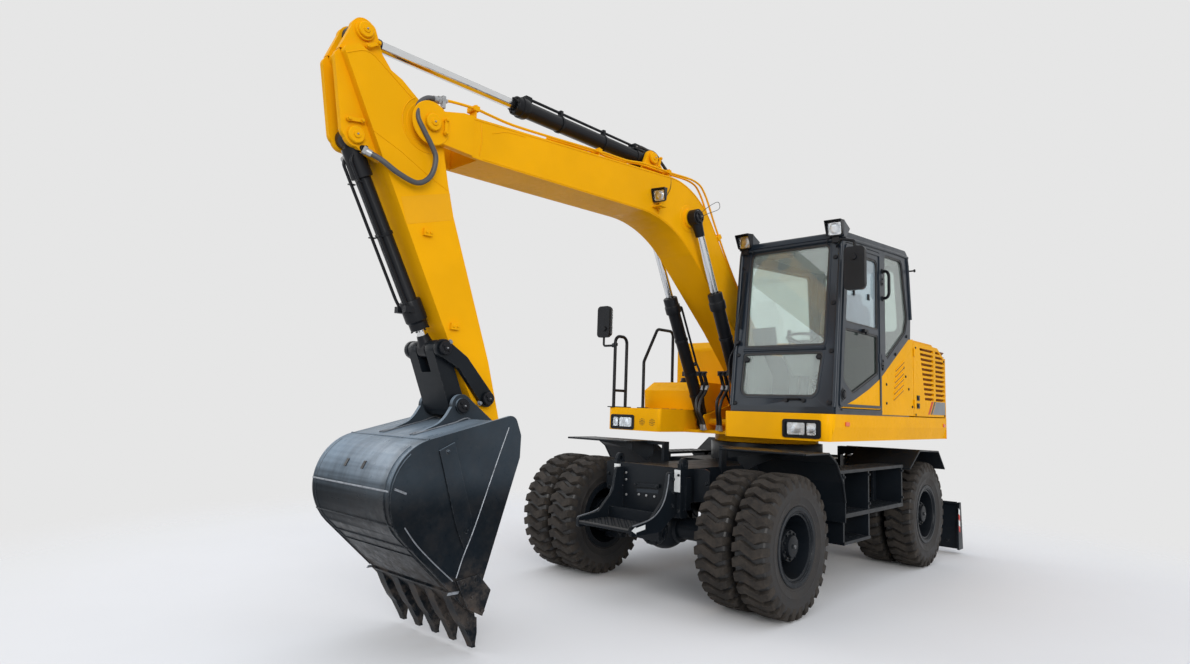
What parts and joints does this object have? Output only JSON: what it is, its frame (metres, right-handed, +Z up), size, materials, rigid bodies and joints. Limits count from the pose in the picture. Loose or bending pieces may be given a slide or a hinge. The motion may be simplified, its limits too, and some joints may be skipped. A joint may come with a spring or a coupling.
{
  "type": "wheeled excavator",
  "caption": "Self-propelled digging machine on twin tyres with a slewing upper body, glazed cab, bent boom, arm, bucket and a rear dozer blade.",
  "frame": {"origin": "on the ground under the middle of the machine as it stands, upper body facing forward", "axes": "+X forward, along boom and chassis; +Y to the left, the cab side; +Z up"},
  "size_m": [7.0709, 2.87, 3.7828],
  "materials": {
    "yellow_paint": "satin",
    "dark_paint": "satin",
    "cab_grey": "satin",
    "chrome": "polished",
    "glass": "clear",
    "tyre": "matte",
    "rim_paint": "satin",
    "seat_fabric": "matte",
    "black_plastic": "matte",
    "cast_engine": "rough",
    "exhaust_steel": "matte"
  },
  "bodies": {
    "chassis": {"chassis_frame": "dark_paint", "slew_ring": "dark_paint", "front_step": "dark_paint", "front_axle": "dark_paint", "rear_axle": "dark_paint", "drive_line": "dark_paint", "front_fenders": "dark_paint", "rear_fenders": "dark_paint", "side_steps": "dark_paint", "tool_boxes": "dark_paint"},
    "upper": {"upper_frame": "yellow_paint", "counterweight": "yellow_paint", "engine_block": "cast_engine", "fuel_tank": "yellow_paint", "hydraulic_tank": "yellow_paint", "valve_block": "dark_paint", "cab_shell": "cab_grey", "cab_roof": "cab_grey", "cab_glass": "glass", "side_panel": "yellow_paint", "seat": "seat_fabric", "steering_column": "black_plastic", "handrails": "dark_paint", "mirrors": "black_plastic", "headlamps": "black_plastic", "roof_lamps": "black_plastic"},
    "engine_cover": {"hood": "yellow_paint", "exhaust_stack": "exhaust_steel"},
    "service_door_left": {"service_door_left": "yellow_paint"},
    "service_door_right": {"service_door_right": "yellow_paint"},
    "cab_door": {"cab_door": "cab_grey", "door_panel": "yellow_paint", "door_glass": "glass"},
    "knuckle_left": {"knuckle_left": "dark_paint"},
    "knuckle_right": {"knuckle_right": "dark_paint"},
    "wheel_front_left": {"tyres_front_left": "tyre", "rim_front_left": "rim_paint"},
    "wheel_front_right": {"tyres_front_right": "tyre", "rim_front_right": "rim_paint"},
    "wheel_rear_left": {"tyres_rear_left": "tyre", "rim_rear_left": "rim_paint"},
    "wheel_rear_right": {"tyres_rear_right": "tyre", "rim_rear_right": "rim_paint"},
    "blade": {"blade": "dark_paint"},
    "blade_barrels": {"blade_barrels": "dark_paint"},
    "blade_rods": {"blade_rods": "chrome"},
    "boom": {"boom": "yellow_paint", "boom_lamp": "black_plastic"},
    "boom_barrels": {"boom_barrels": "dark_paint"},
    "boom_rods": {"boom_rods": "chrome"},
    "arm_barrel": {"arm_barrel": "dark_paint"},
    "arm_rod": {"arm_rod": "chrome"},
    "arm": {"arm": "yellow_paint"},
    "bucket_barrel": {"bucket_barrel": "dark_paint"},
    "bucket_rod": {"bucket_rod": "chrome"},
    "idler_links": {"idler_links": "dark_paint"},
    "bucket_link": {"bucket_link": "dark_paint"},
    "bucket": {"bucket": "dark_paint"}
  },
  "joints": [
    {"name": "slew", "type": "hinge", "parent": "chassis", "child": "upper", "pos_m": [-1.29, 0, 1.2], "axis": [0, 0, 1], "continuous": true},
    {"name": "steer_left", "type": "hinge", "parent": "chassis", "child": "knuckle_left", "pos_m": [0.41, 0.6, 0.525], "axis": [0, 0, 1], "range_deg": [-26, 26]},
    {"name": "steer_right", "type": "hinge", "parent": "chassis", "child": "knuckle_right", "pos_m": [0.41, -0.6, 0.525], "axis": [0, 0, 1], "range_deg": [-27, 27]},
    {"name": "roll_front_left", "type": "hinge", "parent": "knuckle_left", "child": "wheel_front_left", "pos_m": [0.41, 0.94, 0.525], "axis": [0, 1, 0], "continuous": true},
    {"name": "roll_rear_left", "type": "hinge", "parent": "chassis", "child": "wheel_rear_left", "pos_m": [-2.39, 0.94, 0.525], "axis": [0, 1, 0], "continuous": true},
    {"name": "roll_front_right", "type": "hinge", "parent": "knuckle_right", "child": "wheel_front_right", "pos_m": [0.41, -0.94, 0.525], "axis": [0, 1, 0], "continuous": true},
    {"name": "roll_rear_right", "type": "hinge", "parent": "chassis", "child": "wheel_rear_right", "pos_m": [-2.39, -0.94, 0.525], "axis": [0, 1, 0], "continuous": true},
    {"name": "blade_lift", "type": "hinge", "parent": "chassis", "child": "blade", "pos_m": [-2.8, 0, 0.5], "axis": [0, 1, 0], "range_deg": [-8, 30]},
    {"name": "blade_barrel_tilt", "type": "hinge", "parent": "chassis", "child": "blade_barrels", "pos_m": [-2.8, 0, 1], "axis": [0, 1, 0], "range_deg": [-5, 17]},
    {"name": "blade_rod_slide", "type": "slide", "parent": "blade_barrels", "child": "blade_rods", "axis": [-0.7137, 0, -0.7005], "range_m": [-0.207, 0.057]},
    {"name": "boom_lift", "type": "hinge", "parent": "upper", "child": "boom", "pos_m": [-1.415, -0.19, 1.75], "axis": [0, -1, 0], "range_deg": [-50, 43]},
    {"name": "boom_barrel_tilt", "type": "hinge", "parent": "upper", "child": "boom_barrels", "pos_m": [-0.8, -0.19, 1.39], "axis": [0, -1, 0], "range_deg": [-51, 44]},
    {"name": "boom_rod_slide", "type": "slide", "parent": "boom_barrels", "child": "boom_rods", "axis": [0.451, 0, 0.8925], "range_m": [-0.552, 0.475]},
    {"name": "arm_swing", "type": "hinge", "parent": "boom", "child": "arm", "pos_m": [2.935, -0.19, 3.244], "axis": [0, 1, 0], "range_deg": [-85, 30]},
    {"name": "arm_barrel_tilt", "type": "hinge", "parent": "boom", "child": "arm_barrel", "pos_m": [0.596, -0.19, 3.711], "axis": [0, 1, 0], "range_deg": [-7, 3]},
    {"name": "arm_rod_slide", "type": "slide", "parent": "arm_barrel", "child": "arm_rod", "axis": [1, 0, -0.004], "range_m": [-0.774, 0.275]},
    {"name": "bucket_curl", "type": "hinge", "parent": "arm", "child": "bucket", "pos_m": [2.286, -0.19, 1.247], "axis": [0, 1, 0], "range_deg": [0, 150]},
    {"name": "idler_swing", "type": "hinge", "parent": "arm", "child": "idler_links", "pos_m": [2.377, -0.19, 1.528], "axis": [0, 1, 0], "range_deg": [0, 123]},
    {"name": "link_swing", "type": "hinge", "parent": "idler_links", "child": "bucket_link", "pos_m": [2.737, -0.19, 1.835], "axis": [0, 1, 0], "range_deg": [-87, 0]},
    {"name": "bucket_barrel_tilt", "type": "hinge", "parent": "arm", "child": "bucket_barrel", "pos_m": [3.384, -0.19, 3.051], "axis": [0, 1, 0], "range_deg": [-8, 0]},
    {"name": "bucket_rod_slide", "type": "slide", "parent": "bucket_barrel", "child": "bucket_rod", "axis": [-0.4697, 0, -0.8828], "range_m": [0, 0.788]},
    {"name": "cab_door_swing", "type": "hinge", "parent": "upper", "child": "cab_door", "pos_m": [-1.227, 1.222, 2.1], "axis": [0, 0, 1], "range_deg": [0, 100]},
    {"name": "service_door_left_swing", "type": "hinge", "parent": "upper", "child": "service_door_left", "pos_m": [-2.077, 1.222, 1.9], "axis": [0, 0, -1], "range_deg": [0, 100]},
    {"name": "service_door_right_swing", "type": "hinge", "parent": "upper", "child": "service_door_right", "pos_m": [-2.077, -1.222, 1.9], "axis": [0, 0, 1], "range_deg": [0, 100]},
    {"name": "engine_cover_lift", "type": "hinge", "parent": "upper", "child": "engine_cover", "pos_m": [-2.042, 0, 2.31], "axis": [0, 1, 0], "range_deg": [0, 60]}
  ],
  "couplings": [
    {"joint": "steer_right", "follows": "steer_left", "ratio": 1},
    {"joint": "blade_barrel_tilt", "follows": "blade_lift", "ratio": 0.55},
    {"joint": "blade_rod_slide", "follows": "blade_lift", "m_per_rad": -0.39},
    {"joint": "boom_barrel_tilt", "follows": "boom_lift", "ratio": 1},
    {"joint": "boom_rod_slide", "follows": "boom_lift", "m_per_rad": 0.63},
    {"joint": "arm_barrel_tilt", "follows": "arm_swing", "ratio": 0.07},
    {"joint": "arm_rod_slide", "follows": "arm_swing", "m_per_rad": 0.52},
    {"joint": "idler_swing", "follows": "bucket_curl", "ratio": 0.815},
    {"joint": "link_swing", "follows": "bucket_curl", "ratio": -0.575},
    {"joint": "bucket_barrel_tilt", "follows": "bucket_curl", "ratio": -0.05},
    {"joint": "bucket_rod_slide", "follows": "bucket_curl", "m_per_rad": 0.3}
  ]
}
